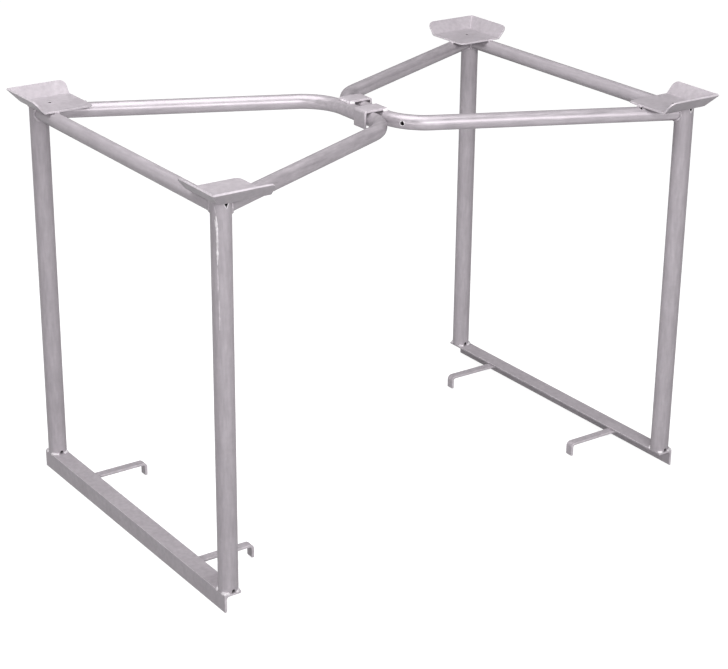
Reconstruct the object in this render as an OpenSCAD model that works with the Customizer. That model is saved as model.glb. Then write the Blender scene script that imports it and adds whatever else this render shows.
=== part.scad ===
// Steel pallet collar: an open stacking frame in two like halves, joined at the middle of the top.
// Each half stands on the end of a pallet with a foot angle, and its trays carry the corners of
// the next pallet. The rear corner of the right half is drawn and mirrored to the other corners,
// and a whole tube or hook is turned round to the left half, because the halves are alike.

/* [Pallet] */
// Length of the pallet that the frame stands on
pallet_length = 1200; // [1000:1:1400]
// Width of the pallet
pallet_width = 800; // [700:1:1200]
// Width of the board across the end of the pallet
end_board = 145; // [90:1:180]

/* [Foot angles] */
// Room between the pallet's end and the upright leg of the angle
foot_clearance = 12; // [2:0.5:25]
// How far the angle reaches past each side of the pallet
foot_overhang = 10; // [0:0.5:20]
// Width of both legs of the angle
angle_leg = 40; // [32:1:60]
// Thickness of the legs
angle_wall = 5; // [4:0.5:8]
// Radius in the inside corner of the angle
angle_root = 6; // [2:0.5:8]
// Radius on the inner edge of each leg
angle_toe = 2.5; // [1:0.5:3.5]

/* [Posts] */
// Height of the tray seats above the lower edge of the angles
seat_height = 887; // [500:1:1600]
// Outside diameter of the posts
post_dia = 42.4; // [40:0.1:60]
// Wall of the posts
post_wall = 2.6; // [2:0.1:4]
// Width of the vent in the foot of a post
foot_vent_width = 8; // [4:0.5:14]
// Height of the vent in the foot of a post
foot_vent_height = 9; // [8:0.5:20]
// Width of the V-shaped vent under a tray
top_vent_width = 14; // [4:0.5:20]
// Depth of the V-shaped vent under a tray
top_vent_depth = 13; // [4:0.5:20]

/* [Tubes] */
// Outside diameter of the cross tube and the loop
tube_dia = 33.7; // [25:0.1:38]
// Wall of the cross tube and the loop
tube_wall = 2.6; // [2:0.1:4]
// Radius of the loop's bends, at the middle of the tube
bend_radius = 105; // [60:1:130]
// Distance from the middle of the frame to where the loop's arm and nose lines cross
nose_reach = 122; // [115:1:180]
// Gap between the noses of the two halves
nose_gap = 0.7; // [0.4:0.1:4]
// Diameter of the drain hole in one bend
bend_vent_dia = 10; // [4:0.5:14]
// Length of the V-shaped vent in a tube, beside the edge of the tray
tube_vent_length = 10; // [4:0.5:16]
// Depth of the V-shaped vent in a tube
tube_vent_depth = 5; // [3:0.5:8]

/* [Trays] */
// How far the tray's end bend lies outside the post
tray_end_margin = 3; // [2:0.5:20]
// How far the tray's side bend lies outside the post
tray_side_margin = 10; // [2:0.5:30]
// Side of the flat seat
tray_seat = 116; // [90:1:160]
// Thickness of the tray
tray_wall = 4; // [3:0.5:8]
// Width of the raised edge, measured up its slope
flange_width = 35; // [20:1:50]
// Angle of the raised edge
flange_angle = 50; // [30:1:60]
// Inside radius of the bend under the raised edge
tray_bend = 5; // [1:0.5:10]
// Radius of the raised edge's free corner
flange_corner = 15; // [5:1:18]
// Radius of the seat's inner corner
seat_corner = 12; // [4:1:25]
// Diameter of the drain hole in the seat
drain_dia = 8; // [4:0.5:14]
// Distance of the drain hole from both bends
drain_inset = 45; // [25:1:60]

/* [Hooks] */
// Width of the hook
hook_width = 42; // [20:1:60]
// Distance from the middle of the frame to the middle of the hook
hook_offset = 43; // [32:1:60]
// Thickness of the hook
hook_wall = 5; // [3:0.5:8]
// Height of the hook from its top to its lower edge
hook_height = 40; // [25:1:50]
// Inside radius of the hook's bend
hook_bend = 2; // [0.5:0.5:4]
// How far the hook reaches past the middle of its own tube
hook_lap = 3; // [0:0.5:6]
// Gap between the hook and the top of the other half's tube
hook_top_gap = 0.3; // [0.2:0.05:1]
// Gap between the hook and the side of the other half's tube
hook_side_gap = 0.5; // [0.3:0.05:3]

/* [Lugs] */
// Width of the lug's flat bar
lug_width = 20; // [10:1:36]
// Thickness of the lug
lug_wall = 6; // [4:0.5:10]
// Height of the lug's end above the lower edge of the foot angle
lug_foot_gap = 3; // [0:0.5:8]
// Distance from the middle of the frame to the middle of the lug
lug_offset = 237; // [150:1:300]
// Gap between the lug and the inner edge of the pallet's end board
lug_clearance = 3; // [1:0.5:15]
// Inside radius of the lug's bend
lug_bend = 5; // [1:0.5:10]

/* [Welds] */
// Size of the weld beads
weld_size = 4; // [2:0.5:5]
// Gap left where a shaped tube end meets another tube
root_gap = 0.2; // [0.1:0.05:0.5]

/* [Hidden] */
$fn = 64;

// Cuts reach this far past the face that they open
past = 1;
// A bent plate or tube is this much thinner on each side in its bend
bend_thinning = 0.02;
// How far the bend reaches into the straight pieces beside it
bend_tuck = 0.1;
// A bead ends this far from an edge that lies flush with a post
edge_margin = 0.5;
// The beads round the tubes end this far below the tray
crown_margin = 1.5;
left = -1;
right = 1;
front = -1;
rear = 1;

// Foot angle: its outer face, its inner face and its end
foot_outer_x = pallet_length / 2 + foot_clearance + angle_wall;
foot_inner_x = foot_outer_x - angle_wall;
foot_end_y = pallet_width / 2 + foot_overhang;

// Posts stand flush with the outer face and the ends of the angle
post_r = post_dia / 2;
post_x = foot_outer_x - post_r;
post_y = foot_end_y - post_r;
post_top = seat_height - tray_wall;

// The horizontal tubes lie right below the trays
tube_r = tube_dia / 2;
tube_z = post_top - tube_r;

// Loop: the arm runs from the post's middle to the nose, and the bend rounds off their corner
nose_x = tube_r + nose_gap / 2;
arm_angle = atan2(post_y - nose_reach, post_x - nose_x);
arm_length = norm([post_x - nose_x, post_y - nose_reach]);
bend_turn = 90 - arm_angle;
bend_length = bend_radius * tan(bend_turn / 2);
nose_half = nose_reach - bend_length;
// Direction of the plane in which the arm meets the cross tube
seam_turn = 270 - bend_turn / 2;

// Tray: the lines where its raised edges bend up, and its inner edges
tray_x = foot_outer_x + tray_end_margin;
tray_y = foot_end_y + tray_side_margin;
tray_setback = tray_bend * tan(flange_angle / 2);
seat_inner_x = tray_x - tray_seat;
seat_inner_y = tray_y - tray_seat;

// Hook: its underside, and the inner face of its turned-down end past the other half's tube,
// which already bends away from the middle at the hook's far edge
hook_far_y = hook_offset + hook_width / 2;
nose_drift = bend_radius - sqrt(pow(bend_radius, 2) - pow(max(hook_far_y - nose_half, 0), 2));
hook_under = post_top + hook_top_gap;
hook_catch_x = nose_x + tube_r + nose_drift + hook_side_gap;
hook_end_x = nose_x + hook_lap;

// Lug: it starts beside the root of the angle and grips the pallet's end board
lug_top = angle_leg - angle_wall;
lug_start_x = foot_inner_x - angle_root;
lug_grip_x = pallet_length / 2 - end_board - lug_clearance;

steel = [0.74, 0.73, 0.75];
bead = [0.86, 0.86, 0.87];

module across(side) {
    if (side == left)
        mirror([1, 0, 0]) children();
    else
        children();
}

module along(end) {
    if (end == front)
        mirror([0, 1, 0]) children();
    else
        children();
}

// Puts a piece of the rear right corner at one of the four corners
module corner(side, end) {
    across(side) along(end) children();
}

// Puts a piece of the right half on one of the two halves
module half(side) {
    if (side == left)
        rotate([0, 0, 180]) children();
    else
        children();
}

// The web between two edges that meet at the origin and the arc that rounds them off
module corner_web(radius) {
    difference() {
        translate([-past, -past]) square(radius + past);
        translate([radius, radius]) circle(r = radius);
    }
}

// Stands an outline drawn in X and Z upright, with its length along Y and centred there
module stand(length) {
    rotate([90, 0, 0]) linear_extrude(length, center = true) children();
}

// A flat bar that runs along X, bends by the given angle and goes on.
// The faces inside the bend would meet at the origin.
module bent_bar(before, after, wall, radius, angle) {
    setback = radius * tan(angle / 2);
    reach = 2 * (radius + wall);
    translate([-setback, radius]) {
        translate([setback - before, -radius - wall]) square([before - setback, wall]);
        rotate(angle) translate([0, -radius - wall]) square([after - setback, wall]);
        difference() {
            circle(r = radius + wall - bend_thinning);
            circle(r = radius + bend_thinning);
            translate([-reach - bend_tuck, -reach]) square([reach, 2 * reach]);
            rotate(angle) translate([bend_tuck, -reach]) square([reach, 2 * reach]);
        }
    }
}

// Foot angle

module angle_outline() {
    difference() {
        union() {
            translate([-angle_wall, -angle_leg]) square([angle_wall, angle_leg]);
            translate([-angle_leg, -angle_wall]) square([angle_leg, angle_wall]);
            translate([-angle_wall, -angle_wall]) rotate(180) corner_web(angle_root);
        }
        translate([-angle_leg, -angle_wall]) corner_web(angle_toe);
        translate([-angle_wall, -angle_leg]) corner_web(angle_toe);
    }
}

module foot_angle(side) {
    color(steel) half(side)
        translate([foot_outer_x, 0, angle_leg]) stand(2 * foot_end_y) angle_outline();
}

// Posts

module post_body(radius, beyond = 0) {
    translate([post_x, post_y, angle_leg - beyond])
        cylinder(r = radius, h = post_top - angle_leg + 2 * beyond);
}

module foot_vent(width) {
    arch_r = foot_vent_width / 2;
    translate([post_x, post_y, angle_leg]) stand(width) {
        translate([0, foot_vent_height - arch_r]) circle(r = arch_r);
        translate([-arch_r, -past]) square([foot_vent_width, foot_vent_height - arch_r + past]);
    }
}

module top_vent() {
    slope = top_vent_depth / (top_vent_width / 2);
    translate([post_x, post_y + post_r, post_top]) stand(post_dia)
        polygon([[0, -top_vent_depth], [top_vent_width / 2 + past, past * slope],
                 [-top_vent_width / 2 - past, past * slope]]);
}

module post(side, end) {
    color(steel) corner(side, end) difference() {
        post_body(post_r);
        post_body(post_r - post_wall, past);
        foot_vent(post_dia + 2 * past);
        top_vent();
    }
}

// Horizontal tubes

module cross_body(radius) {
    translate([post_x, 0, tube_z]) rotate([90, 0, 0]) cylinder(r = radius, h = 2 * post_y, center = true);
}

// Puts a piece at the centre of the rear bend, turned so that X points to where the arm starts
module arm_frame() {
    translate([nose_x + bend_radius, nose_half, tube_z]) rotate([0, 0, 180 - bend_turn]) children();
}

module arm_body(radius) {
    arm_frame() translate([bend_radius, 0, 0]) rotate([90, 0, 0])
        cylinder(r = radius, h = arm_length - bend_length);
}

// The rear bend, whose ends lie inside the arm and the nose
module bend_body(radius) {
    tuck_turn = bend_tuck / bend_radius * 180 / PI;
    arm_frame() rotate([0, 0, -tuck_turn]) rotate_extrude(angle = bend_turn + 2 * tuck_turn)
        translate([bend_radius, 0]) circle(r = radius - bend_thinning);
}

module nose_body(radius) {
    translate([nose_x, 0, tube_z]) rotate([90, 0, 0]) cylinder(r = radius, h = 2 * nose_half, center = true);
}

module loop_body(radius) {
    nose_body(radius);
    for (end = [front, rear]) along(end) {
        bend_body(radius);
        arm_body(radius);
    }
}

// V-shaped vent sawn across the top of a tube that runs along X from the origin
module tube_vent(distance) {
    slope = tube_vent_depth / (tube_vent_length / 2);
    translate([distance, 0, tube_r]) stand(tube_dia)
        polygon([[0, -tube_vent_depth], [tube_vent_length / 2 + past, past * slope],
                 [-tube_vent_length / 2 - past, past * slope]]);
}

module cross_tube(side) {
    color(steel) half(side) difference() {
        cross_body(tube_r);
        cross_body(tube_r - tube_wall);
        for (end = [front, rear]) along(end) {
            post_body(post_r + root_gap);
            translate([post_x, 0, tube_z]) rotate([0, 0, 90]) tube_vent(seat_inner_y);
        }
    }
}

module loop_tube(side) {
    bisector = 180 - bend_turn / 2;
    color(steel) half(side) difference() {
        loop_body(tube_r);
        loop_body(tube_r - tube_wall);
        cross_body(tube_r + root_gap);
        for (end = [front, rear]) along(end) {
            post_body(post_r + root_gap);
            translate([post_x, post_y, tube_z]) rotate([0, 0, 180 + arm_angle])
                tube_vent((post_x - seat_inner_x) / cos(arm_angle));
        }
        along(front) translate([nose_x + bend_radius, nose_half, tube_z]) rotate([0, 0, bisector])
            translate([bend_radius, 0, 0]) rotate([0, 90, 0]) cylinder(d = bend_vent_dia, h = tube_dia);
    }
}

// Trays

// The part of the tray on one side of its diagonal, with the corner of its bend lines at the origin
module tray_half() {
    reach = tray_seat + flange_width;
    intersection() {
        difference() {
            translate([0, (flange_width - tray_seat) / 2, 0]) stand(reach)
                bent_bar(tray_seat, flange_width, tray_wall, tray_bend, flange_angle);
            rotate([0, -flange_angle, 0]) translate([flange_width, -tray_seat, -tray_wall - past])
                linear_extrude(tray_wall + 2 * past) mirror([1, 0]) corner_web(flange_corner);
        }
        translate([0, 0, -reach]) linear_extrude(2 * reach)
            polygon([[-reach, -reach], [reach, -reach], [reach, reach]]);
    }
}

module tray(side, end) {
    color(steel) corner(side, end) translate([tray_x, tray_y, seat_height]) difference() {
        union() {
            tray_half();
            mirror([1, -1, 0]) tray_half();
        }
        translate([-tray_seat, -tray_seat, -tray_wall - past])
            linear_extrude(tray_wall + 2 * past) corner_web(seat_corner);
        translate([-drain_inset, -drain_inset, -tray_wall - past])
            cylinder(d = drain_dia, h = tray_wall + 2 * past);
    }
}

// Hooks

module hook_plate() {
    translate([-hook_catch_x, -hook_offset, hook_under]) stand(hook_width) rotate(180)
        bent_bar(hook_end_x + hook_catch_x, hook_height - hook_wall, hook_wall, hook_bend, 90);
}

module hook(side) {
    color(steel) half(side) hook_plate();
}

// Lugs

module lug(side, end) {
    lug_under = lug_top - lug_wall;
    color(steel) corner(side, end) translate([lug_grip_x, lug_offset, lug_under]) stand(lug_width)
        rotate(180) bent_bar(lug_start_x - lug_grip_x, lug_under - lug_foot_gap, lug_wall, lug_bend, 90);
}

// Welds

// Outline of a fillet bead with one leg along each axis
module fillet_outline(start) {
    polygon([[start, 0], [start + weld_size, 0], [start, weld_size]]);
}

// Round the foot of a post, as far as the angle carries the bead
module foot_bead() {
    inner_x = foot_outer_x - angle_leg + edge_margin;
    reach = post_dia + 2 * weld_size;
    difference() {
        intersection() {
            translate([post_x, post_y, angle_leg]) rotate_extrude() fillet_outline(post_r);
            translate([inner_x, foot_end_y - reach, angle_leg])
                cube([foot_outer_x - edge_margin - inner_x, reach - edge_margin, weld_size]);
        }
        foot_vent(2 * reach);
    }
}

// Along both sides of a lug, under the angle
module lug_beads() {
    inner_x = foot_outer_x - angle_leg + angle_toe;
    for (turn = [0, 1])
        translate([inner_x, lug_offset, lug_top]) mirror([0, turn, 0]) rotate([90, 0, 90])
            linear_extrude(lug_start_x - inner_x) mirror([0, 1]) fillet_outline(lug_width / 2);
}

// Between a post and the underside of its tray, beside the tubes
module tray_bead() {
    reach = post_dia + weld_size;
    grown = tube_r + weld_size;
    difference() {
        translate([post_x, post_y, post_top]) mirror([0, 0, 1]) rotate_extrude() fillet_outline(post_r);
        translate([tray_x - tray_setback, post_y - reach, post_top - reach]) cube(2 * reach);
        for (turn = [0, bend_turn])
            translate([post_x, post_y, post_top]) rotate([0, 0, -90 - turn])
                translate([0, -grown, -reach]) cube([reach, 2 * grown, 2 * reach]);
        top_vent();
    }
}

// The room for a bead round the tubes' ends, on one side of an upright plane through the post
module bead_room(turn) {
    reach = post_dia + weld_size;
    translate([post_x, post_y, tube_z - reach]) rotate([0, 0, turn])
        translate([-reach, root_gap / 2, 0]) cube([2 * reach, reach, reach + tube_r - crown_margin]);
}

module bare_tubes() {
    post_body(post_r);
    cross_body(tube_r);
    arm_body(tube_r);
}

// Round the end of the cross tube, on the post
module cross_bead() {
    difference() {
        intersection() {
            post_body(post_r + weld_size);
            cross_body(tube_r + weld_size);
            bead_room(seam_turn);
        }
        bare_tubes();
    }
}

// Round the end of the loop's arm, on the post
module arm_bead() {
    difference() {
        intersection() {
            post_body(post_r + weld_size);
            arm_body(tube_r + weld_size);
            bead_room(seam_turn + 180);
        }
        bare_tubes();
    }
}

// Round the end of a hook, on its own tube
module hook_bead() {
    // It starts half a radius short of the tube's middle and goes round the hook's end
    run = hook_lap + tube_r / 2;
    difference() {
        intersection() {
            union() {
                nose_body(tube_r + weld_size);
                along(front) bend_body(tube_r + weld_size);
            }
            translate([hook_end_x - run, -hook_far_y - weld_size, tube_z])
                cube([run + weld_size, hook_width + 2 * weld_size, tube_r + hook_top_gap + hook_wall]);
        }
        nose_body(tube_r);
        along(front) bend_body(tube_r);
        hook_plate();
    }
}

module foot_welds(side) {
    color(bead) for (end = [front, rear]) corner(side, end) {
        foot_bead();
        lug_beads();
    }
}

module top_welds(side) {
    color(bead) for (end = [front, rear]) corner(side, end) {
        tray_bead();
        cross_bead();
        arm_bead();
    }
}

module hook_weld(side) {
    color(bead) half(side) hook_bead();
}

foot_angle(left);  // left_foot_angle
foot_angle(right);  // right_foot_angle
post(left, front);  // left_front_post
post(left, rear);  // left_rear_post
post(right, front);  // right_front_post
post(right, rear);  // right_rear_post
cross_tube(left);  // left_cross_tube
cross_tube(right);  // right_cross_tube
loop_tube(left);  // left_loop_tube
loop_tube(right);  // right_loop_tube
tray(left, front);  // left_front_tray
tray(left, rear);  // left_rear_tray
tray(right, front);  // right_front_tray
tray(right, rear);  // right_rear_tray
hook(left);  // left_hook
hook(right);  // right_hook
lug(left, front);  // left_front_lug
lug(left, rear);  // left_rear_lug
lug(right, front);  // right_front_lug
lug(right, rear);  // right_rear_lug
foot_welds(left);  // left_foot_welds
foot_welds(right);  // right_foot_welds
top_welds(left);  // left_top_welds
top_welds(right);  // right_top_welds
hook_weld(left);  // left_hook_weld
hook_weld(right);  // right_hook_weld
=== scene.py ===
"""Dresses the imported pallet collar: two like halves of hot-dip galvanised tube and plate.

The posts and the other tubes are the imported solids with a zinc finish. The foot angles, the bent
plates, the flat bars and the weld beads are made again here with rounded edges and ripples.
"""
import math

import bmesh
import bpy
from mathutils import Matrix, Vector


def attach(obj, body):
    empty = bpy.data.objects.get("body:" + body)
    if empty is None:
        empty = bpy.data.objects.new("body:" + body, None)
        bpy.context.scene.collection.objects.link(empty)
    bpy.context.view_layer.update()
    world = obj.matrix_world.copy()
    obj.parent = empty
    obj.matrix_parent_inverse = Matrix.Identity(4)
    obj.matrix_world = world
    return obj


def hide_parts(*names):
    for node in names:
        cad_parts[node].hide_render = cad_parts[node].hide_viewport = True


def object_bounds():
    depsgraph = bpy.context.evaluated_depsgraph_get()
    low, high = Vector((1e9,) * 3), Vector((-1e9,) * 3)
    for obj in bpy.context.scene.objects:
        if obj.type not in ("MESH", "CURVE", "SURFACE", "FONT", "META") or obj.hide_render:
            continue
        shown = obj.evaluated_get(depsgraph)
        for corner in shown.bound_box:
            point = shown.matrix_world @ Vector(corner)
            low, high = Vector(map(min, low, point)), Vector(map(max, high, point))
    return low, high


MM = 0.001

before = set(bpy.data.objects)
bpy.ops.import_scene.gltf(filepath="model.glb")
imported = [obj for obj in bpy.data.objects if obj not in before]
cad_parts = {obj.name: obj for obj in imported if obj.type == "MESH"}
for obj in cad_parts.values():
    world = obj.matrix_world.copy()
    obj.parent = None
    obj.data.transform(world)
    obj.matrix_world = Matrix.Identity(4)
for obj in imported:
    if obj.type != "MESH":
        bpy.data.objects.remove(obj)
cad_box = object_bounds()


# Sizes in millimetres, as the CAD has them

LEFT, RIGHT = -1, 1
FRONT, REAR = -1, 1
HALVES = {LEFT: "left", RIGHT: "right"}
ENDS = {FRONT: "front", REAR: "rear"}

# Foot angle: its outer face and its end, its legs, and the radii of its root and its toes
FOOT_X = 617
FOOT_Y = 410
ANGLE_LEG = 40
ANGLE_WALL = 5
ANGLE_ROOT = 6
ANGLE_TOE = 2.5
# Post, with the V-shaped vent under its tray
POST_R = 21.2
POST_WALL = 2.6
POST_X = FOOT_X - POST_R
POST_Y = FOOT_Y - POST_R
VENT_W = 14
VENT_DEEP = 13
# Tray: where its two bends cross, its flat seat, its raised edges and its drain hole
SEAT_Z = 887
TRAY_WALL = 4
TRAY_CORNER = (620, 420, SEAT_Z)
TRAY_SEAT = 116
TRAY_BEND = 5
SEAT_CORNER = 12
FLANGE_WIDTH = 35
FLANGE_ANGLE = 50
FLANGE_CORNER = 15
DRAIN_R = 4
DRAIN_INSET = 45
# Level tubes, which lie right below the trays
POST_TOP = SEAT_Z - TRAY_WALL
TUBE_R = 16.85
TUBE_Z = POST_TOP - TUBE_R
# Loop: the middle of its nose, the straight half of it, its bends, and the drain hole's rim
NOSE_X = 17.2
NOSE_HALF = 54.8
BEND_R = 105
DRAIN_RIM = 5.4
# How far the loop's bends turn, which is the angle between its arms and the ends of the frame
ARM_TURN = math.radians(65.244)
# Hook: its underside, its catching face and its welded end, and the length that is turned down
HOOK_UNDER = 883.3
HOOK_CATCH_X = 34.98
HOOK_END_X = 20.2
HOOK_Y = 43
HOOK_WIDTH = 42
HOOK_WALL = 5
HOOK_DROP = 35
HOOK_BEND = 2
# Lug: its gripping face, its end beside the angle's root, and the length that is turned down
LUG_GRIP_X = 452
LUG_ROOT_X = 606
LUG_Y = 237
LUG_WIDTH = 20
LUG_WALL = 6
LUG_DROP = 26
LUG_BEND = 5


def linear(code):
    """The linear colour of an sRGB hex code."""
    parts = [int(code[i:i + 2], 16) / 255 for i in (1, 3, 5)]
    return [p / 12.92 if p <= 0.04045 else ((p + 0.055) / 1.055) ** 2.4 for p in parts] + [1.0]


def add_node(tree, kind, settings=None, links=None):
    """Adds a node, sets its properties and sockets, and links its inputs to other outputs."""
    node = tree.nodes.new(kind)
    for key, value in (settings or {}).items():
        if isinstance(key, str) and hasattr(node, key):
            setattr(node, key, value)
        else:
            node.inputs[key].default_value = value
    for key, output in (links or {}).items():
        tree.links.new(output, node.inputs[key])
    return node


# Materials

# The way in which a tube lies in the frame, along which its zinc ran. Plates have no such way.
# A pattern's coordinates are squeezed along it
UPRIGHT, CROSS, LOOP, EVEN = "upright", "cross", "loop", "even"
SQUEEZE = {UPRIGHT: (1, 1, 0.14), CROSS: (1, 0.1, 1), LOOP: (0.12, 1, 1), EVEN: (0.6, 0.6, 0.6)}
# How much the runs change the tone, how metallic the skin is, and its least and most roughness
RUN_TONE = {UPRIGHT: 0.08, CROSS: 0.07, LOOP: 0.1, EVEN: 0.08}
METAL_SHARE = {UPRIGHT: 0.08, CROSS: 0.18, LOOP: 0.36, EVEN: 0.1}
GLOSS = {UPRIGHT: (0.36, 0.52), CROSS: (0.3, 0.44), LOOP: (0.3, 0.44), EVEN: (0.36, 0.52)}
# Width in millimetres of a run of zinc
RUN_MM = 6
# Sizes in millimetres of the zinc's crystals, clouds and pits, on a face and on a bead.
# The real pits are finer, and here they are as coarse as they need to be to show
FACE_GRAIN = (7, 60, 1.6)
BEAD_GRAIN = (3, 12, 1.2)
# Nearly all values of a noise pattern lie between these
NOISE_LOW, NOISE_HIGH = 0.3, 0.7


def drawn_out(tree, place, way):
    """Coordinates that are squeezed along a tube, so that a pattern in them runs along the tube."""
    if way == LOOP:
        # All four arms are folded into one corner, where one turn lays them along the X axis
        folded = add_node(tree, "ShaderNodeVectorMath", {"operation": "ABSOLUTE"}, {0: place})
        turned = add_node(tree, "ShaderNodeVectorRotate",
                          {"rotation_type": "Z_AXIS", "Angle": ARM_TURN - math.pi / 2},
                          {"Vector": folded.outputs[0]})
        place = turned.outputs[0]
    squeezed = add_node(tree, "ShaderNodeVectorMath", {"operation": "MULTIPLY", 1: SQUEEZE[way]},
                        {0: place})
    return squeezed.outputs[0]


def vented(tree, colour, place):
    """Colour of a post: near-white on the cut edges of its vents, thick zinc with a painted highlight,
    and near-black inside, painted shade.
    """
    folded = add_node(tree, "ShaderNodeVectorMath", {"operation": "ABSOLUTE"}, {0: place})
    to_axis = {"operation": "SUBTRACT", 1: (POST_X * MM, POST_Y * MM, 0)}
    offset = add_node(tree, "ShaderNodeVectorMath", to_axis, {0: folded.outputs[0]})
    level = add_node(tree, "ShaderNodeVectorMath", {"operation": "MULTIPLY", 1: (1, 1, 0)},
                     {0: offset.outputs[0]})
    from_axis = add_node(tree, "ShaderNodeVectorMath", {"operation": "LENGTH"},
                         {0: level.outputs[0]}).outputs["Value"]
    # Both changes of colour are half a millimetre wide and lie within the wall
    bore = POST_R - POST_WALL
    inner_change = {"From Min": (bore + 0.2) * MM, "From Max": (bore + 0.7) * MM}
    outer_change = {"From Min": (POST_R - 0.9) * MM, "From Max": (POST_R - 0.4) * MM}
    on_cut = add_node(tree, "ShaderNodeMapRange", inner_change, {"Value": from_axis})
    outside = add_node(tree, "ShaderNodeMapRange", outer_change, {"Value": from_axis})
    # Near-black inside the tube is painted shade; near-white on the cut is thick zinc with a painted
    # highlight
    wall = add_node(tree, "ShaderNodeMix",
                    {"data_type": "RGBA", 6: linear("#131314"), 7: linear("#f2eef1")},
                    {0: on_cut.outputs[0]})
    return add_node(tree, "ShaderNodeMix", {"data_type": "RGBA"},
                    {0: outside.outputs[0], 6: wall.outputs[2], 7: colour}).outputs[2]


def galvanised_steel(name, way, tones, gloss, grain):
    """Hot-dip galvanised steel: a skin of zinc crystals, clouded where it cooled slowly.

    The crystals differ a little in tone. The zinc ran along the tubes as it drained, and its runs
    differ in tone and gloss, so the metal looks satin and never mirrors.
    """
    light, mid, dull = tones
    smooth, rough = gloss
    crystal_mm, cloud_mm, pit_mm = grain
    material = bpy.data.materials.new(name)
    material.use_nodes = True
    tree = material.node_tree
    shader = tree.nodes["Principled BSDF"]
    place = add_node(tree, "ShaderNodeTexCoord").outputs["Object"]
    runs = add_node(tree, "ShaderNodeTexNoise",
                    {"Scale": 1 / (RUN_MM * MM), "Detail": 2.0, "Roughness": 0.5},
                    {"Vector": drawn_out(tree, place, way)}).outputs["Fac"]
    # Crystals are bent out of shape by up to their own size, so that none has straight sides
    waver = add_node(tree, "ShaderNodeTexNoise", {"Scale": 1 / (2 * crystal_mm * MM), "Detail": 2.0},
                     {"Vector": place})
    bent = add_node(tree, "ShaderNodeVectorMath",
                    {"operation": "MULTIPLY_ADD", 1: (crystal_mm * MM,) * 3},
                    {0: waver.outputs["Color"], 2: place})
    crystals = add_node(tree, "ShaderNodeTexVoronoi", {"Scale": 1 / (crystal_mm * MM)},
                        {"Vector": bent.outputs[0]})
    clouds = add_node(tree, "ShaderNodeTexNoise",
                      {"Scale": 1 / (cloud_mm * MM), "Detail": 4.0, "Roughness": 0.6},
                      {"Vector": place}).outputs["Fac"]
    skin = add_node(tree, "ShaderNodeTexNoise",
                    {"Scale": 1 / (pit_mm * MM), "Detail": 3.0, "Roughness": 0.55},
                    {"Vector": place}).outputs["Fac"]
    tone = add_node(tree, "ShaderNodeMix", {"data_type": "RGBA", 6: linear(mid), 7: linear(light)},
                    {0: crystals.outputs["Color"]})
    cloud_share = add_node(tree, "ShaderNodeMapRange",
                           {"From Min": 0.42, "From Max": 0.68, "To Max": 0.8}, {"Value": clouds})
    clouded = add_node(tree, "ShaderNodeMix", {"data_type": "RGBA", 7: linear(dull)},
                       {0: cloud_share.outputs[0], 6: tone.outputs[2]})
    run_share = add_node(tree, "ShaderNodeMapRange",
                         {"From Min": NOISE_LOW, "From Max": NOISE_HIGH,
                          "To Min": 1 - RUN_TONE[way], "To Max": 1 + RUN_TONE[way]},
                         {"Value": runs})
    colour = add_node(tree, "ShaderNodeVectorMath", {"operation": "SCALE"},
                      {0: clouded.outputs[2], "Scale": run_share.outputs[0]}).outputs[0]
    if way == UPRIGHT:
        colour = vented(tree, colour, place)
    roughness = add_node(tree, "ShaderNodeMapRange",
                         {"From Min": NOISE_LOW, "From Max": NOISE_HIGH,
                          "To Min": smooth, "To Max": rough},
                         {"Value": runs})
    pits = add_node(tree, "ShaderNodeBump", {"Strength": 0.35, "Distance": 0.15 * MM},
                    {"Height": skin})
    ridges = add_node(tree, "ShaderNodeBump", {"Strength": 0.4, "Distance": 0.15 * MM},
                      {"Height": runs, "Normal": pits.outputs[0]})
    waves = add_node(tree, "ShaderNodeBump", {"Strength": 0.5, "Distance": 0.6 * MM},
                     {"Height": clouds, "Normal": ridges.outputs[0]})
    shader.inputs["Metallic"].default_value = METAL_SHARE[way]
    shader.inputs["Specular IOR Level"].default_value = 0.25
    shader.inputs["Specular Tint"].default_value = (0.25, 0.25, 0.25, 1)
    tree.links.new(colour, shader.inputs["Base Color"])
    tree.links.new(roughness.outputs[0], shader.inputs["Roughness"])
    tree.links.new(waves.outputs[0], shader.inputs["Normal"])
    return material


def cup_shade_material():
    """Near-black painted shade for the inside of a drain hole, with faint flecks."""
    material = bpy.data.materials.new("painted_shade_in_drain")
    material.use_nodes = True
    tree = material.node_tree
    shader = tree.nodes["Principled BSDF"]
    place = add_node(tree, "ShaderNodeTexCoord").outputs["Object"]
    flakes = add_node(tree, "ShaderNodeTexNoise", {"Scale": 1 / (2 * MM), "Detail": 3.0},
                      {"Vector": place})
    tone = add_node(tree, "ShaderNodeMix",
                    {"data_type": "RGBA", 6: linear("#161517"), 7: linear("#2a282b")},
                    {0: flakes.outputs["Fac"]})
    tree.links.new(tone.outputs[2], shader.inputs["Base Color"])
    shader.inputs["Roughness"].default_value = 0.8
    return material


# Tones are light, middle and dull. Thick zinc, as on beads and edges, froze smoother than a face
FACE_TONES = ("#bfb8be", "#bab3b9", "#b3acb2")
BEAD_GLOSS = (0.3, 0.42)
zinc = {way: galvanised_steel("galvanised_" + way, way, FACE_TONES, GLOSS[way], FACE_GRAIN)
        for way in GLOSS}
# The near-white tones of the weld beads and of the zinc run down the post are a painted highlight
weld_zinc_painted_highlight = galvanised_steel("galvanised_weld_painted_highlight", EVEN, ("#f8f4f7", "#ece7eb", "#d6d0d5"),
                             BEAD_GLOSS, BEAD_GRAIN)
# Zinc runs together on an edge, so a cut edge is smoother than the face beside it; its lighter tone is
# partly that thicker zinc and partly a painted highlight
edge_zinc_and_highlight = galvanised_steel("galvanised_edge_and_highlight", EVEN, ("#dcd5db", "#d4cdd3", "#c8c1c7"),
                             BEAD_GLOSS, FACE_GRAIN)
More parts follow.
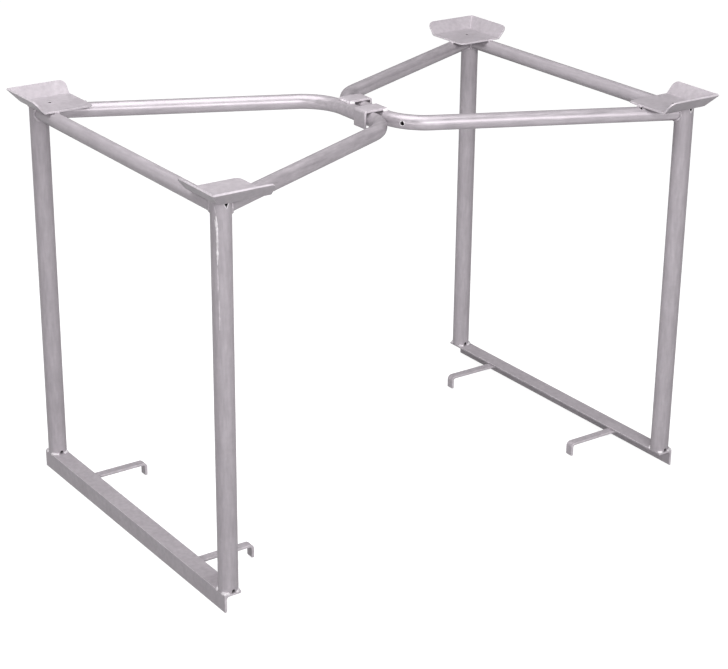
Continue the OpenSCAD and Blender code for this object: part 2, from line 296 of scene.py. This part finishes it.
# The joints under the trays, where less light falls, get a duller copy of the welds' tones: a weaker
# painted highlight
joint_zinc_weaker_highlight = galvanised_steel("galvanised_joint_weaker_highlight", EVEN, ("#d4cdd3", "#c9c2c8", "#b7b0b6"),
                              BEAD_GLOSS, BEAD_GRAIN)
# Near-black painted shade for the cups in the drain holes
dark_cup_paint = cup_shade_material()

tube_ways = {"post": UPRIGHT, "cross_tube": CROSS, "loop_tube": LOOP}

for name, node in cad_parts.items():
    way = next((way for word, way in tube_ways.items() if name.endswith(word)), EVEN)
    node.material_slots[0].material = zinc[way]


# Shapes. Sizes are in millimetres here, and turned to metres when a piece is finished

# Points closer than this count as one, or as lying in one plane
CLOSE = 1e-4


def corner_place(side, end):
    """Mirrors what is drawn at the rear right corner to one of the four corners."""
    return Matrix.Diagonal((side, end, 1, 1))


def half_place(side):
    """Turns what is drawn on the right half to one of the two halves."""
    return Matrix.Rotation(0 if side == RIGHT else math.pi, 4, "Z")


def placed_mesh(shape, name, place):
    """The mesh of a shape at its place on the frame, in metres, with its faces outwards."""
    bmesh.ops.transform(shape, matrix=Matrix.Scale(MM, 4) @ place, verts=shape.verts)
    if place.determinant() < 0:
        bmesh.ops.reverse_faces(shape, faces=shape.faces)
    mesh = bpy.data.meshes.new(name)
    shape.to_mesh(mesh)
    shape.free()
    return mesh


def hang(mesh, name, body, replaced=None):
    """Puts a mesh in the scene as a piece of one half, in place of a solid if one is named."""
    piece = bpy.data.objects.new(name, mesh)
    bpy.context.scene.collection.objects.link(piece)
    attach(piece, body)
    if replaced:
        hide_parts(replaced)
    return piece


def finish_shape(shape, name, body, place, replaced, wall=0, edge=0.8):
    """Hangs a shape of galvanised plate on its half, with its wall and its rounded edges."""
    for face in shape.faces:
        face.smooth = True
    mesh = placed_mesh(shape, name, place)
    mesh.materials.append(zinc[EVEN])
    # The second material goes on the rim and the rounded edges: lighter zinc with a painted highlight
    mesh.materials.append(edge_zinc_and_highlight)
    piece = hang(mesh, name, body, replaced)
    if wall:
        solid = piece.modifiers.new("wall", "SOLIDIFY")
        solid.thickness = wall * MM
        solid.offset = -1
        solid.use_even_offset = True
        solid.use_quality_normals = True
        solid.material_offset_rim = 1
    rounded = piece.modifiers.new("rounded_edges", "BEVEL")
    rounded.width = edge * MM
    rounded.segments = 3
    rounded.limit_method = "ANGLE"
    rounded.angle_limit = math.radians(38)
    rounded.harden_normals = True
    rounded.material = 1


def verts_among(geometry):
    """The vertices in what an operator gives back."""
    return [part for part in geometry if isinstance(part, bmesh.types.BMVert)]


def everything(shape):
    """All parts of a shape, as an operator takes them."""
    return shape.verts[:] + shape.edges[:] + shape.faces[:]


def face_up(shape):
    """Turns all faces to the same side, with the largest one facing up."""
    bmesh.ops.recalc_face_normals(shape, faces=shape.faces)
    if max(shape.faces, key=lambda f: f.calc_area()).normal.z < 0:
        bmesh.ops.reverse_faces(shape, faces=shape.faces)


def round_corner(shape, place, radius, segments):
    """Rounds off the corner of an outline that lies at a place."""
    corner = min(shape.verts, key=lambda v: (v.co - Vector(place)).length)
    bmesh.ops.bevel(shape, geom=[corner], offset=radius, offset_type="OFFSET", affect="VERTICES",
                    segments=segments, profile=0.5, material=-1)


def bent_strip(before, after, radius, angle, near, far):
    """Inner face of a bent bar: it runs along X, bends up round the origin and goes on."""
    turn = math.radians(angle)
    setback = radius * math.tan(turn / 2)
    shape = bmesh.new()
    start = bmesh.ops.create_vert(shape, co=(-before, near, 0))["vert"][0]
    bend = bmesh.ops.extrude_vert_indiv(shape, verts=[start])["verts"][0]
    bend.co = (-setback, near, 0)
    turned = bmesh.ops.spin(shape, geom=[bend], cent=(-setback, near, radius), axis=(0, -1, 0),
                            angle=turn, steps=6, use_duplicate=False)
    last = verts_among(turned["geom_last"])[0]
    tip = bmesh.ops.extrude_vert_indiv(shape, verts=[last])["verts"][0]
    tip.co = (after * math.cos(turn), near, after * math.sin(turn))
    swept = bmesh.ops.extrude_edge_only(shape, edges=shape.edges[:])["geom"]
    bmesh.ops.translate(shape, vec=(0, far - near, 0), verts=verts_among(swept))
    face_up(shape)
    return shape


def tray_shape():
    """Upper face of a corner tray: a strip with one raised edge, mitred with its mirror image."""
    shape = bent_strip(TRAY_SEAT, FLANGE_WIDTH, TRAY_BEND, FLANGE_ANGLE, -TRAY_SEAT, FLANGE_WIDTH)
    bmesh.ops.bisect_plane(shape, geom=everything(shape), dist=CLOSE / 10,
                           plane_co=(0, 0, 0), plane_no=(-1, 1, 0), clear_outer=True)
    copied = bmesh.ops.duplicate(shape, geom=everything(shape))["geom"]
    swap = Matrix(((0, 1, 0, 0), (1, 0, 0, 0), (0, 0, 1, 0), (0, 0, 0, 1)))
    bmesh.ops.transform(shape, matrix=swap, verts=verts_among(copied))
    copied_faces = [part for part in copied if isinstance(part, bmesh.types.BMFace)]
    bmesh.ops.reverse_faces(shape, faces=copied_faces)
    bmesh.ops.remove_doubles(shape, verts=shape.verts, dist=CLOSE)
    rise = FLANGE_WIDTH * math.sin(math.radians(FLANGE_ANGLE))
    round_corner(shape, (-TRAY_SEAT, -TRAY_SEAT, 0), SEAT_CORNER, 6)
    round_corner(shape, (rise, -TRAY_SEAT, rise), FLANGE_CORNER, 7)
    round_corner(shape, (-TRAY_SEAT, rise, rise), FLANGE_CORNER, 7)
    # The flat seat is filled again between its rim and the drain hole
    seat = [f for f in shape.faces if all(abs(v.co.z) < CLOSE for v in f.verts)]
    rim = [e for e in shape.edges if sum(f in seat for f in e.link_faces) == 1]
    inner = [e for e in shape.edges if sum(f in seat for f in e.link_faces) == 2]
    bmesh.ops.delete(shape, geom=seat, context="FACES_ONLY")
    bmesh.ops.delete(shape, geom=inner, context="EDGES")
    drain = bmesh.ops.create_circle(shape, segments=24, radius=DRAIN_R,
                                    matrix=Matrix.Translation((-DRAIN_INSET, -DRAIN_INSET, 0)))["verts"]
    hole = [e for e in shape.edges if e.verts[0] in drain]
    bmesh.ops.triangle_fill(shape, use_beauty=True, edges=rim + hole, normal=(0, 0, 1))
    face_up(shape)
    return shape


def angle_shape():
    """Rolled angle: an L with a rounded root and toes, drawn out along Y."""
    inner_x, inner_z = FOOT_X - ANGLE_WALL, ANGLE_LEG - ANGLE_WALL
    outline = [(FOOT_X, 0), (FOOT_X, ANGLE_LEG), (FOOT_X - ANGLE_LEG, ANGLE_LEG),
               (FOOT_X - ANGLE_LEG, inner_z), (inner_x, inner_z), (inner_x, 0)]
    shape = bmesh.new()
    shape.faces.new([shape.verts.new((x, -FOOT_Y, z)) for x, z in outline])
    round_corner(shape, (inner_x, -FOOT_Y, inner_z), ANGLE_ROOT, 6)
    round_corner(shape, (FOOT_X - ANGLE_LEG, -FOOT_Y, inner_z), ANGLE_TOE, 4)
    round_corner(shape, (inner_x, -FOOT_Y, 0), ANGLE_TOE, 4)
    drawn = bmesh.ops.extrude_face_region(shape, geom=shape.faces[:], use_keep_orig=True)["geom"]
    bmesh.ops.translate(shape, vec=(0, 2 * FOOT_Y, 0), verts=verts_among(drawn))
    bmesh.ops.recalc_face_normals(shape, faces=shape.faces)
    # The sawn ends take the second material, the lighter zinc of a cut edge with its painted highlight
    for face in shape.faces:
        face.material_index = int(abs(face.normal.y) > 0.9)
    return shape


def cup_shape():
    """The bore under the drain hole of a tray: a dark cup that closes it off above the tube, painted
    shade in the hole.
    """
    outer, inner = DRAIN_R - 0.05, DRAIN_R - 0.3
    top, bottom, floor = -0.8, 0.15 - TRAY_WALL, 0.35 - TRAY_WALL
    profile = [(0, bottom), (outer, bottom), (outer, top), (inner, top), (inner, floor), (0, floor)]
    shape = bmesh.new()
    verts = [shape.verts.new((x, 0, z)) for x, z in profile]
    edges = [shape.edges.new(pair) for pair in zip(verts, verts[1:])]
    bmesh.ops.spin(shape, geom=verts + edges, cent=(0, 0, 0), axis=(0, 0, 1), angle=2 * math.pi,
                   steps=32, use_merge=True)
    bmesh.ops.remove_doubles(shape, verts=shape.verts, dist=CLOSE)
    bmesh.ops.recalc_face_normals(shape, faces=shape.faces)
    return shape


# Weld beads: each is a line along a joint, laid down as ripples of weld metal

# The ways in which the two level tubes leave a post, as turns from the X axis
CROSS_WAY = math.radians(-90)
ARM_WAY = CROSS_WAY - ARM_TURN
# The middle of a bead lies this far off the post, off the end of a tube, and off an edge
POST_GAP = 0.6
SADDLE_GAP = 0.8
EDGE_GAP = 0.5
# A bead stops this far to each side of the middle of a vent
VENT_CLEAR = 6
# Beads are drawn in steps, with a ripple at each pitch
RIPPLE_STEP = 0.6
RIPPLE_PITCH = 2.4
# Shares of a bead's size: its thickness between the ripples, the ripples, and its two tips
VALLEY_SHARE = 0.94
RIPPLE_SHARE = 0.07
TIP_SHARE = 0.35
# Share of the size and pace in millimetres of the long and the short sway of its thickness
LONG_SWAY = (0.06, 3.7)
SHORT_SWAY = (0.04, 1.9)


def spaced(points, step):
    """Points at even steps along a broken line."""
    result = [points[0]]
    ahead = step
    for here, there in zip(points, points[1:]):
        length = (there - here).length
        direction = (there - here).normalized()
        while ahead <= length:
            result.append(here + direction * ahead)
            ahead += step
        ahead -= length
    return result


def kept_runs(points, keep, shortest=5):
    """The stretches of a line whose points pass a test, in order, long enough to weld."""
    runs = [[]]
    for point in points:
        if keep(point):
            runs[-1].append(point)
        elif runs[-1]:
            runs.append([])
    return [run for run in runs if len(run) >= shortest]


def post_ring(radius, height):
    """A level circle round the post, in steps of two degrees."""
    turns = [math.radians(2 * i) for i in range(181)]
    return [Vector((POST_X + radius * math.cos(a), POST_Y + radius * math.sin(a), height))
            for a in turns]


def saddle(direction):
    """The line where a level tube, from the post towards a direction, meets the post."""
    along = Vector((math.cos(direction), math.sin(direction), 0))
    across = Vector((-math.sin(direction), math.cos(direction), 0))
    grown = TUBE_R + SADDLE_GAP
    points = []
    for i in range(121):
        turn = math.radians(90 + 3 * i)
        side = grown * math.cos(turn)
        out = math.sqrt((POST_R + SADDLE_GAP) ** 2 - side ** 2)
        skin = Vector((POST_X, POST_Y, TUBE_Z + grown * math.sin(turn)))
        points.append(skin + along * out + across * side)
    return points


def off_tube(point, direction):
    """How far a point lies from the axis of a level tube that starts at the post."""
    along = Vector((math.cos(direction), math.sin(direction), 0))
    offset = point - Vector((POST_X, POST_Y, TUBE_Z))
    if offset.dot(along) < 0:
        return POST_R
    return (offset - along * offset.dot(along)).length


def foot_lines():
    """Round the foot of a post on its angle, open at the vent, and along both sides of the lug."""
    def on_angle(p):
        inner_x = FOOT_X - ANGLE_LEG + 2 * EDGE_GAP
        inside = inner_x < p.x < FOOT_X - EDGE_GAP and p.y < FOOT_Y - EDGE_GAP
        return inside and abs(p.x - POST_X) > VENT_CLEAR
    lines = kept_runs(post_ring(POST_R + POST_GAP, ANGLE_LEG + POST_GAP), on_angle)
    # A second, lower pass beside the first fills out the frame's outer corner
    second = post_ring(POST_R + 4, ANGLE_LEG + 0.2)
    lines += kept_runs(second, lambda p: p.x > POST_X and on_angle(p) and p.y > POST_Y)
    lug_side = LUG_WIDTH / 2 + EDGE_GAP
    lug_z = ANGLE_LEG - ANGLE_WALL - 0.7
    toe_x, root_x = FOOT_X - ANGLE_LEG + 3, LUG_ROOT_X - 1
    for side in (-lug_side, lug_side):
        lines.append([Vector((x, LUG_Y + side, lug_z)) for x in (toe_x, root_x)])
    return lines


def top_lines():
    """Under the tray round the post, round both tube ends, and in the notch between the tubes."""
    def off_both(p):
        return min(off_tube(p, CROSS_WAY), off_tube(p, ARM_WAY))
    # How far from a tube's axis the bead round the post stops, how high the beads round the tubes
    # rise, and how far from a tube's axis the bead in the notch lies
    beside_tube, under_tray, in_notch = TUBE_R + 1.5, POST_TOP - 2, TUBE_R + 0.3
    lines = kept_runs(post_ring(POST_R + POST_GAP, POST_TOP - POST_GAP),
                      lambda p: off_both(p) > beside_tube
                      and (p.y < POST_Y or abs(p.x - POST_X) > VENT_CLEAR))
    for way, other in ((CROSS_WAY, ARM_WAY), (ARM_WAY, CROSS_WAY)):
        lines += kept_runs(saddle(way), lambda p: p.z < under_tray and off_tube(p, other) > in_notch)
    half = ARM_TURN / 2
    middle = CROSS_WAY - half
    notch = []
    for i in range(-50, 51):
        turn = math.radians(i)
        out = in_notch * math.cos(turn) / math.sin(half)
        notch.append(Vector((POST_X + out * math.cos(middle), POST_Y + out * math.sin(middle),
                             TUBE_Z + in_notch * math.sin(turn))))
    return lines + [notch]


def edge_lines():
    """Across the top of each tube, where a free edge of the tray crosses it, up to the tube's vent.

    The numbers in each range are millimetres to one side of the tube's middle.
    """
    def skin(offset):
        return TUBE_Z + math.sqrt((TUBE_R + EDGE_GAP) ** 2 - offset ** 2)
    edge_x = TRAY_CORNER[0] - TRAY_SEAT - 1
    edge_y = TRAY_CORNER[1] - TRAY_SEAT - 1
    arm_y = POST_Y - (POST_X - edge_x) * math.tan(ARM_WAY)
    cross = [Vector((POST_X + s, edge_y, skin(s))) for s in range(-9, 5)]
    arm = [Vector((edge_x, arm_y + s, skin(s * math.cos(ARM_WAY)))) for s in range(-10, 5)]
    return [cross, arm]


def hook_lines():
    """Round the end of the hook, on its own tube: the line over its end, and the lines back."""
    def on_tube(x, y):
        return Vector((x, y, TUBE_Z + math.sqrt((TUBE_R + 0.4) ** 2 - (x - NOSE_X) ** 2)))
    first = -(HOOK_Y - HOOK_WIDTH / 2 - EDGE_GAP)
    last = -(HOOK_Y + HOOK_WIDTH / 2 + EDGE_GAP)
    past = HOOK_END_X + EDGE_GAP
    steps = [0.5 * i for i in range(26)]
    start_x = 8
    # The line over the end keeps this far from both corners
    clear = 3
    out = [on_tube(start_x + step, first) for step in steps]
    over = [on_tube(past, first - clear - i) for i in range(int(first - last) - 2 * clear + 1)]
    back = [on_tube(past - step, last) for step in steps]
    return [over], [out, back]


def drain_rim_line():
    """Round the drain hole in the loop's front bend, on the skin of the tube."""
    bisector = math.pi + ARM_TURN / 2
    out = Vector((math.cos(bisector), math.sin(bisector), 0))
    side = Vector((-out.y, out.x, 0))
    middle = Vector((NOSE_X + BEND_R, -NOSE_HALF, TUBE_Z)) + out * BEND_R
    points = []
    for i in range(61):
        turn = math.radians(6 * i)
        rise = DRAIN_RIM * math.cos(turn)
        on_skin = middle + out * math.sqrt(TUBE_R ** 2 - rise ** 2)
        points.append(on_skin + side * DRAIN_RIM * math.sin(turn) + Vector((0, 0, rise)))
    return points


def vent_rim_line():
    """Along both cut edges of the V-shaped vent under a tray, on the skin of the post."""
    half_width = VENT_W / 2
    points = []
    for i in range(-14, 15):
        side = (half_width + 0.7) * i / 14
        rise = abs(side) * VENT_DEEP / half_width
        skin = POST_Y + math.sqrt((POST_R + 0.1) ** 2 - side ** 2)
        points.append(Vector((POST_X + side, skin, POST_TOP - VENT_DEEP - 0.9 + rise)))
    return points


def post_run(headings_and_heights):
    """A line down the front left post, given by compass headings in degrees and heights.

    It lies a little inside the skin of the post, so the run is low and wide.
    """
    run_r = POST_R - 0.8
    knots = []
    for heading, height in headings_and_heights:
        turn = math.radians(heading)
        knots.append(Vector((-POST_X + run_r * math.sin(turn), -POST_Y + run_r * math.cos(turn),
                             height)))
    return knots


def bead_swell(run, length, number, lumpy, taper):
    """Thickness of a bead as a share of its size: ripples on a slow sway, thinner at both ends."""
    ripple = RIPPLE_SHARE * abs(math.sin(math.pi * run / RIPPLE_PITCH))
    long_sway = LONG_SWAY[0] * math.sin(run / LONG_SWAY[1] + number)
    short_sway = SHORT_SWAY[0] * math.sin(run / SHORT_SWAY[1] + 2 * number)
    ends = min(1, TIP_SHARE + min(run, length - run) / taper)
    return ends * (VALLEY_SHARE + ripple + (long_sway + short_sway) * lumpy)


def lay_beads(name, body, place, lines, size, replaced, lumpy=1, material=weld_zinc_painted_highlight, taper=3):
    """Lays weld beads along lines as one mesh.

    The size is the radius of a bead. The sway of its thickness grows with lumpy, and it thins out
    towards its ends over the length given as its taper.
    """
    curve = bpy.data.curves.new(name, "CURVE")
    curve.dimensions = "3D"
    curve.bevel_depth = size * MM
    curve.bevel_resolution = 2
    curve.use_fill_caps = True
    for number, line in enumerate(lines):
        points = spaced(line, RIPPLE_STEP)
        length = RIPPLE_STEP * (len(points) - 1)
        spline = curve.splines.new("POLY")
        spline.points.add(len(points) - 1)
        for i, point in enumerate(points):
            spline.points[i].co = (*(place @ point * MM), 1)
            spline.points[i].radius = bead_swell(RIPPLE_STEP * i, length, number, lumpy, taper)
    drawn = bpy.data.objects.new(name + "_line", curve)
    bpy.context.scene.collection.objects.link(drawn)
    bpy.context.view_layer.update()
    mesh = bpy.data.meshes.new_from_object(drawn)
    bpy.data.objects.remove(drawn)
    mesh.name = name
    mesh.materials.clear()
    mesh.materials.append(material)
    mesh.polygons.foreach_set("use_smooth", [True] * len(mesh.polygons))
    hang(mesh, name, body, replaced)


# The pieces of the two halves

# A bent strip is drawn with its end up, and turned over for the hooks and lugs, whose ends hang down
UPSIDE_DOWN = Matrix.Rotation(math.pi, 4, "Y")
HOOK_PLACE = Matrix.Translation((-HOOK_CATCH_X, -HOOK_Y, HOOK_UNDER)) @ UPSIDE_DOWN
LUG_UNDER = ANGLE_LEG - ANGLE_WALL - LUG_WALL
LUG_PLACE = Matrix.Translation((LUG_GRIP_X, LUG_Y, LUG_UNDER)) @ UPSIDE_DOWN
TRAY_PLACE = Matrix.Translation(TRAY_CORNER)
DRAIN_PLACE = TRAY_PLACE @ Matrix.Translation((-DRAIN_INSET, -DRAIN_INSET, 0))
STRAIGHT = Matrix.Identity(4)


def bent_hook():
    """Inner face of a hook."""
    return bent_strip(HOOK_CATCH_X + HOOK_END_X, HOOK_DROP, HOOK_BEND, 90,
                      -HOOK_WIDTH / 2, HOOK_WIDTH / 2)


def bent_lug():
    """Inner face of a lug."""
    return bent_strip(LUG_ROOT_X - LUG_GRIP_X, LUG_DROP, LUG_BEND, 90, -LUG_WIDTH / 2, LUG_WIDTH / 2)


def dress_corner(corner, label, body):
    """Makes the tray and the lug of one corner, with the dark cup of painted shade in the drain hole
    and the vent rim under the tray.
    """
    finish_shape(tray_shape(), label + "_corner_tray", body, corner @ TRAY_PLACE, label + "_tray",
                 wall=TRAY_WALL)
    # A near-black cup in the drain hole: painted shade
    bore = placed_mesh(cup_shape(), label + "_drain_shade_cup", corner @ DRAIN_PLACE)
    bore.materials.append(dark_cup_paint)
    hang(bore, label + "_drain_shade_cup", body)
    finish_shape(bent_lug(), label + "_bent_lug", body, corner @ LUG_PLACE, label + "_lug",
                 wall=LUG_WALL)
    lay_beads(label + "_vent_rim", body, corner, [vent_rim_line()], 0.9, None)


def dress_half(side, half_name):
    """Makes the foot angle, the hook, both corners and all welds of one half."""
    body = half_name + "_half"
    turned = half_place(side)
    finish_shape(angle_shape(), half_name + "_rolled_angle", body, turned,
                 half_name + "_foot_angle", edge=0.7)
    finish_shape(bent_hook(), half_name + "_bent_hook", body, turned @ HOOK_PLACE,
                 half_name + "_hook", wall=HOOK_WALL)
    foot, top = [], []
    for end, end_name in ENDS.items():
        corner = corner_place(side, end)
        dress_corner(corner, half_name + "_" + end_name, body)
        foot += [[corner @ p for p in line] for line in foot_lines()]
        top += [[corner @ p for p in line] for line in top_lines() + edge_lines()]
    lay_beads(half_name + "_foot_beads", body, STRAIGHT, foot, 3.8, half_name + "_foot_welds",
              lumpy=1.5)
    lay_beads(half_name + "_top_beads", body, STRAIGHT, top, 3.0, half_name + "_top_welds",
              lumpy=2.5, material=joint_zinc_weaker_highlight)
    over_end, back_at_corners = hook_lines()
    lay_beads(half_name + "_hook_beads", body, turned, over_end, 3.2, half_name + "_hook_weld",
              lumpy=3, material=edge_zinc_and_highlight)
    lay_beads(half_name + "_hook_corner_beads", body, turned, back_at_corners, 3.6, None, lumpy=2)
    lay_beads(half_name + "_drain_rim", body, turned, [drain_rim_line()], 0.8, None)


for side, half_name in HALVES.items():
    dress_half(side, half_name)

# Zinc that ran down the post nearest the camera as the frame drained, and froze there. Its near-white
# tone is a painted glint
THICK_RUNS = (
    ((238, 856), (234, 838), (233, 800), (233.5, 756)),
    ((245, 848), (241, 838), (237, 826)),
)
THIN_RUNS = (
    ((247, 877), (242, 866), (238, 853)),
    ((233.5, 756), (234, 694)),
    ((229, 690), (229, 620)),
)
lay_beads("left_post_zinc_run", "left_half", STRAIGHT, [post_run(run) for run in THICK_RUNS],
          2.5, None, lumpy=2, taper=24)
lay_beads("left_post_zinc_drips", "left_half", STRAIGHT, [post_run(run) for run in THIN_RUNS],
          1.5, None, lumpy=3, material=edge_zinc_and_highlight, taper=20)


# Studio: floor, light and the photograph's view

# The camera's place in metres and its angles in degrees, as worked out from the corners of the
# load space, and the focal length and the width of the photograph in pixels
CAMERA_PLACE = (-2.371, -3.410, 2.058)
CAMERA_AZIMUTH = -34.91
CAMERA_ELEVATION = 22.53
CAMERA_ROLL = 0.58
FOCAL_PIXELS = 1948
PHOTO_WIDTH = 728
SENSOR_MM = 36
# Radius of the floor and its gap below the frame's feet, in metres, so that the two never touch
FLOOR_R = 40
FLOOR_GAP = 0.0005


def studio_floor():
    """A white floor that throws less light back up at the frame than the camera sees on it."""
    shape = bmesh.new()
    bmesh.ops.create_circle(shape, cap_ends=True, segments=96, radius=FLOOR_R)
    mesh = bpy.data.meshes.new("studio_floor")
    shape.to_mesh(mesh)
    shape.free()
    floor = bpy.data.objects.new("studio_floor", mesh)
    bpy.context.scene.collection.objects.link(floor)
    floor.location.z = cad_box[0][2] - FLOOR_GAP
    material = bpy.data.materials.new("studio_floor")
    material.use_nodes = True
    tree = material.node_tree
    shader = tree.nodes["Principled BSDF"]
    rays = add_node(tree, "ShaderNodeLightPath").outputs
    seen = add_node(tree, "ShaderNodeMath", {"operation": "MAXIMUM"},
                    {0: rays["Is Camera Ray"], 1: rays["Is Glossy Ray"]})
    seen = add_node(tree, "ShaderNodeMath", {"operation": "MAXIMUM"},
                    {0: seen.outputs[0], 1: rays["Is Transmission Ray"]})
    tone = add_node(tree, "ShaderNodeMix",
                    {"data_type": "RGBA", 6: linear("#565658"), 7: linear("#a6a6a6")},
                    {0: seen.outputs[0]})
    glow = add_node(tree, "ShaderNodeMath", {"operation": "MULTIPLY", 1: 0.9}, {0: seen.outputs[0]})
    tree.links.new(tone.outputs[2], shader.inputs["Base Color"])
    tree.links.new(glow.outputs[0], shader.inputs["Emission Strength"])
    shader.inputs["Emission Color"].default_value = (1, 1, 1, 1)
    shader.inputs["Roughness"].default_value = 0.95
    shader.inputs["Specular IOR Level"].default_value = 0
    mesh.materials.append(material)


def studio_sun(name, heading, height, strength, spread):
    """Even light from a compass heading, in degrees from +Y towards +X, and a height in degrees."""
    data = bpy.data.lights.new(name, "SUN")
    data.energy = strength
    data.angle = math.radians(spread)
    lamp = bpy.data.objects.new(name, data)
    bpy.context.scene.collection.objects.link(lamp)
    way = math.radians(heading)
    rise = math.radians(height)
    source = Vector((math.sin(way) * math.cos(rise), math.cos(way) * math.cos(rise), math.sin(rise)))
    lamp.rotation_euler = source.to_track_quat("Z", "Y").to_euler()


def softbox(name, place, aim, size, power):
    """A square lamp at a place that faces a point, both in metres, with its side and its watts."""
    data = bpy.data.lights.new(name, "AREA")
    data.shape = "SQUARE"
    data.size = size
    data.energy = power
    lamp = bpy.data.objects.new(name, data)
    bpy.context.scene.collection.objects.link(lamp)
    lamp.visible_camera = False
    lamp.location = place
    lamp.rotation_euler = (Vector(place) - Vector(aim)).to_track_quat("Z", "Y").to_euler()


def studio_world(low, high):
    """Dim light from all round, a little brighter from above."""
    world = bpy.data.worlds.new("studio_light")
    bpy.context.scene.world = world
    world.use_nodes = True
    tree = world.node_tree
    way = add_node(tree, "ShaderNodeTexCoord").outputs["Generated"]
    axes = add_node(tree, "ShaderNodeSeparateXYZ", links={0: way}).outputs
    level = add_node(tree, "ShaderNodeMapRange",
                     {"From Min": 0, "From Max": 1, "To Min": low, "To Max": high},
                     {"Value": axes["Z"]})
    tree.links.new(level.outputs[0], tree.nodes["Background"].inputs["Strength"])
    tree.nodes["Background"].inputs["Color"].default_value = (1, 1, 1, 1)


def photo_camera():
    """A camera at the photograph's place, with its angles and its angle of view."""
    data = bpy.data.cameras.new("photo_camera")
    data.sensor_fit = "HORIZONTAL"
    data.sensor_width = SENSOR_MM
    data.lens = SENSOR_MM * FOCAL_PIXELS / PHOTO_WIDTH
    data.clip_end = 200
    camera = bpy.data.objects.new("photo_camera", data)
    bpy.context.scene.collection.objects.link(camera)
    turn = Matrix.Rotation(math.radians(CAMERA_AZIMUTH), 4, "Z")
    tilt = Matrix.Rotation(math.radians(90 - CAMERA_ELEVATION), 4, "X")
    roll = Matrix.Rotation(math.radians(CAMERA_ROLL), 4, "Z")
    camera.matrix_world = Matrix.Translation(CAMERA_PLACE) @ turn @ tilt @ roll
    bpy.context.scene.camera = camera


studio_floor()
# A low sun from the camera's side, a large lamp overhead and three smaller ones round the frame
studio_sun("low_key", 205, 17, 0.85, 20)
softbox("overhead", (-0.5, 0, 2.8), (-0.45, 0, 0.8), 1.9, 45)
softbox("near_right", (-0.3, -2.1, 1.6), (0.1, 0, 0.8), 1.4, 19)
softbox("front_left", (-3.2, -2.2, 1.0), (-0.6, -0.2, 0.5), 1.4, 22)
softbox("rim", (-2.0, 1.6, 1.2), (-0.6, 0, 0.8), 0.7, 4.5)
studio_world(0.18, 0.25)
photo_camera()

bpy.context.scene.view_settings.view_transform = "Standard"
